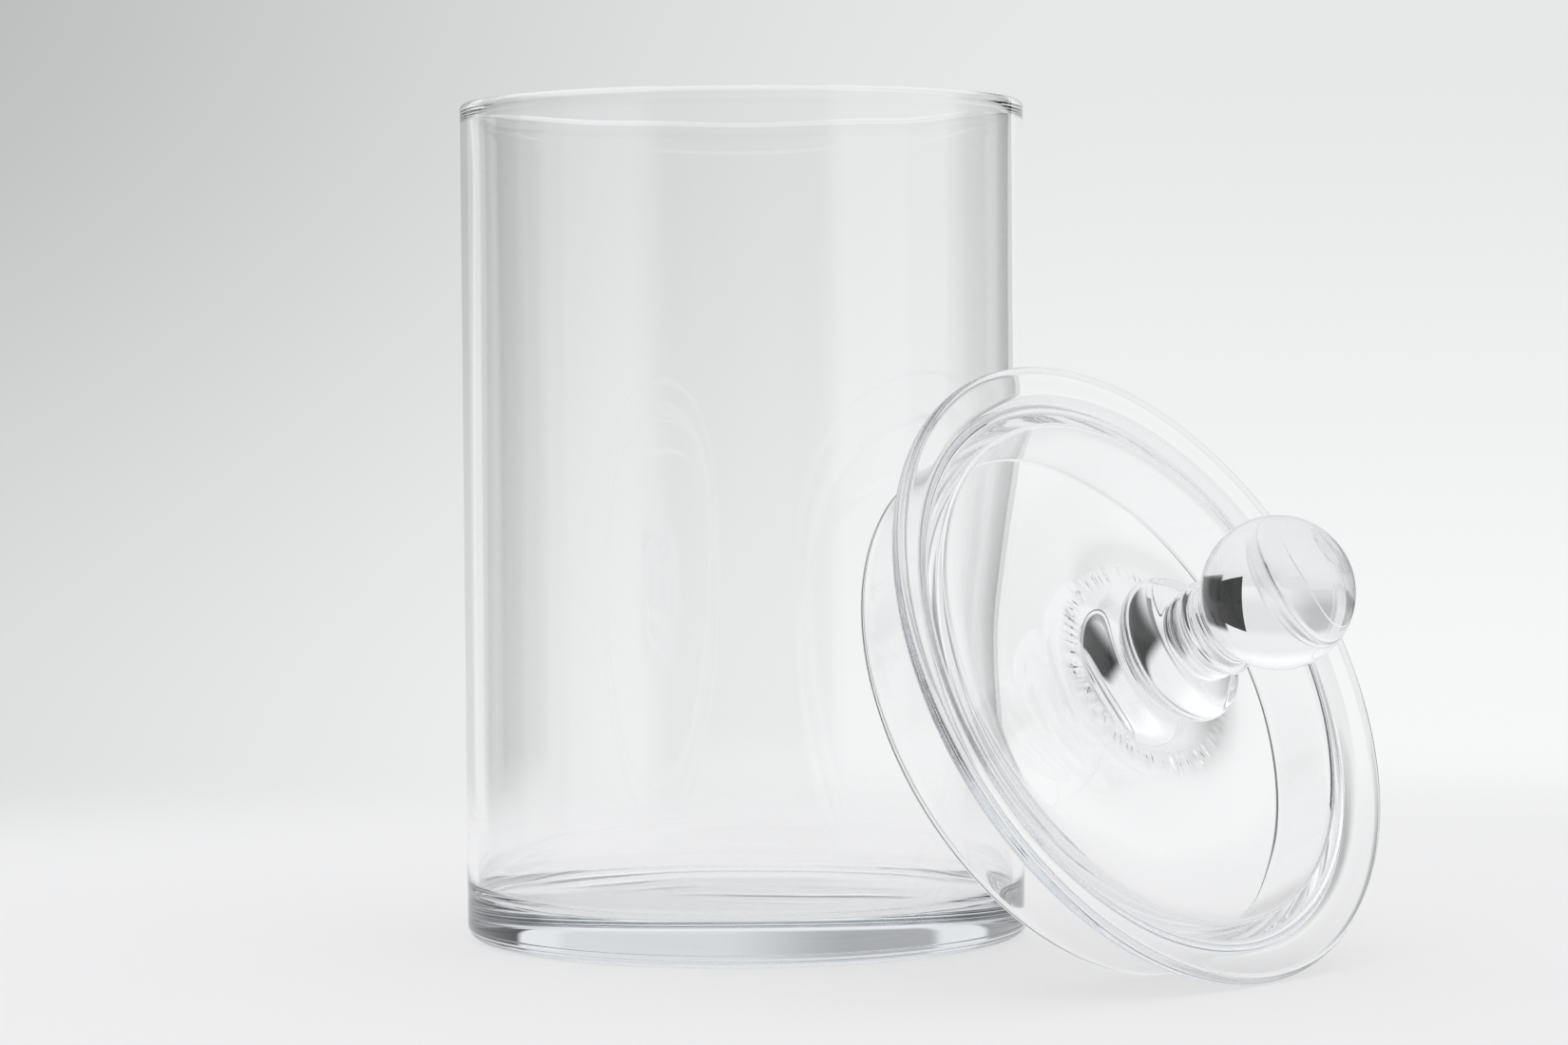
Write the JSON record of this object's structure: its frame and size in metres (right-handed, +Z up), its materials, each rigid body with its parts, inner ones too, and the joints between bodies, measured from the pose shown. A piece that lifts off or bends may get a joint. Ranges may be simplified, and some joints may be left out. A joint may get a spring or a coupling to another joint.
{
  "type": "lidded glass canister",
  "caption": "Clear glass kitchen canister: straight round jar with a thick base, and a loose flanged lid with a solid ball knob, lying beside it.",
  "frame": {"origin": "centre of the jar's flat underside, on the surface that the jar and the lid stand on", "axes": "+Z up along the jar's axis; the lid lies on its side at the jar's right and front, towards +X and -Y"},
  "size_m": [0.2385, 0.2271, 0.222],
  "materials": {
    "clear_glass": "polished"
  },
  "bodies": {
    "jar": {"jar_body": "clear_glass"},
    "lid": {"lid_cover": "clear_glass", "lid_knob": "clear_glass"}
  },
  "joints": [
    {"name": "lid_lift", "type": "slide", "parent": "jar", "child": "lid", "axis": [0, 0, 1], "range_m": [0, 0.23]}
  ]
}
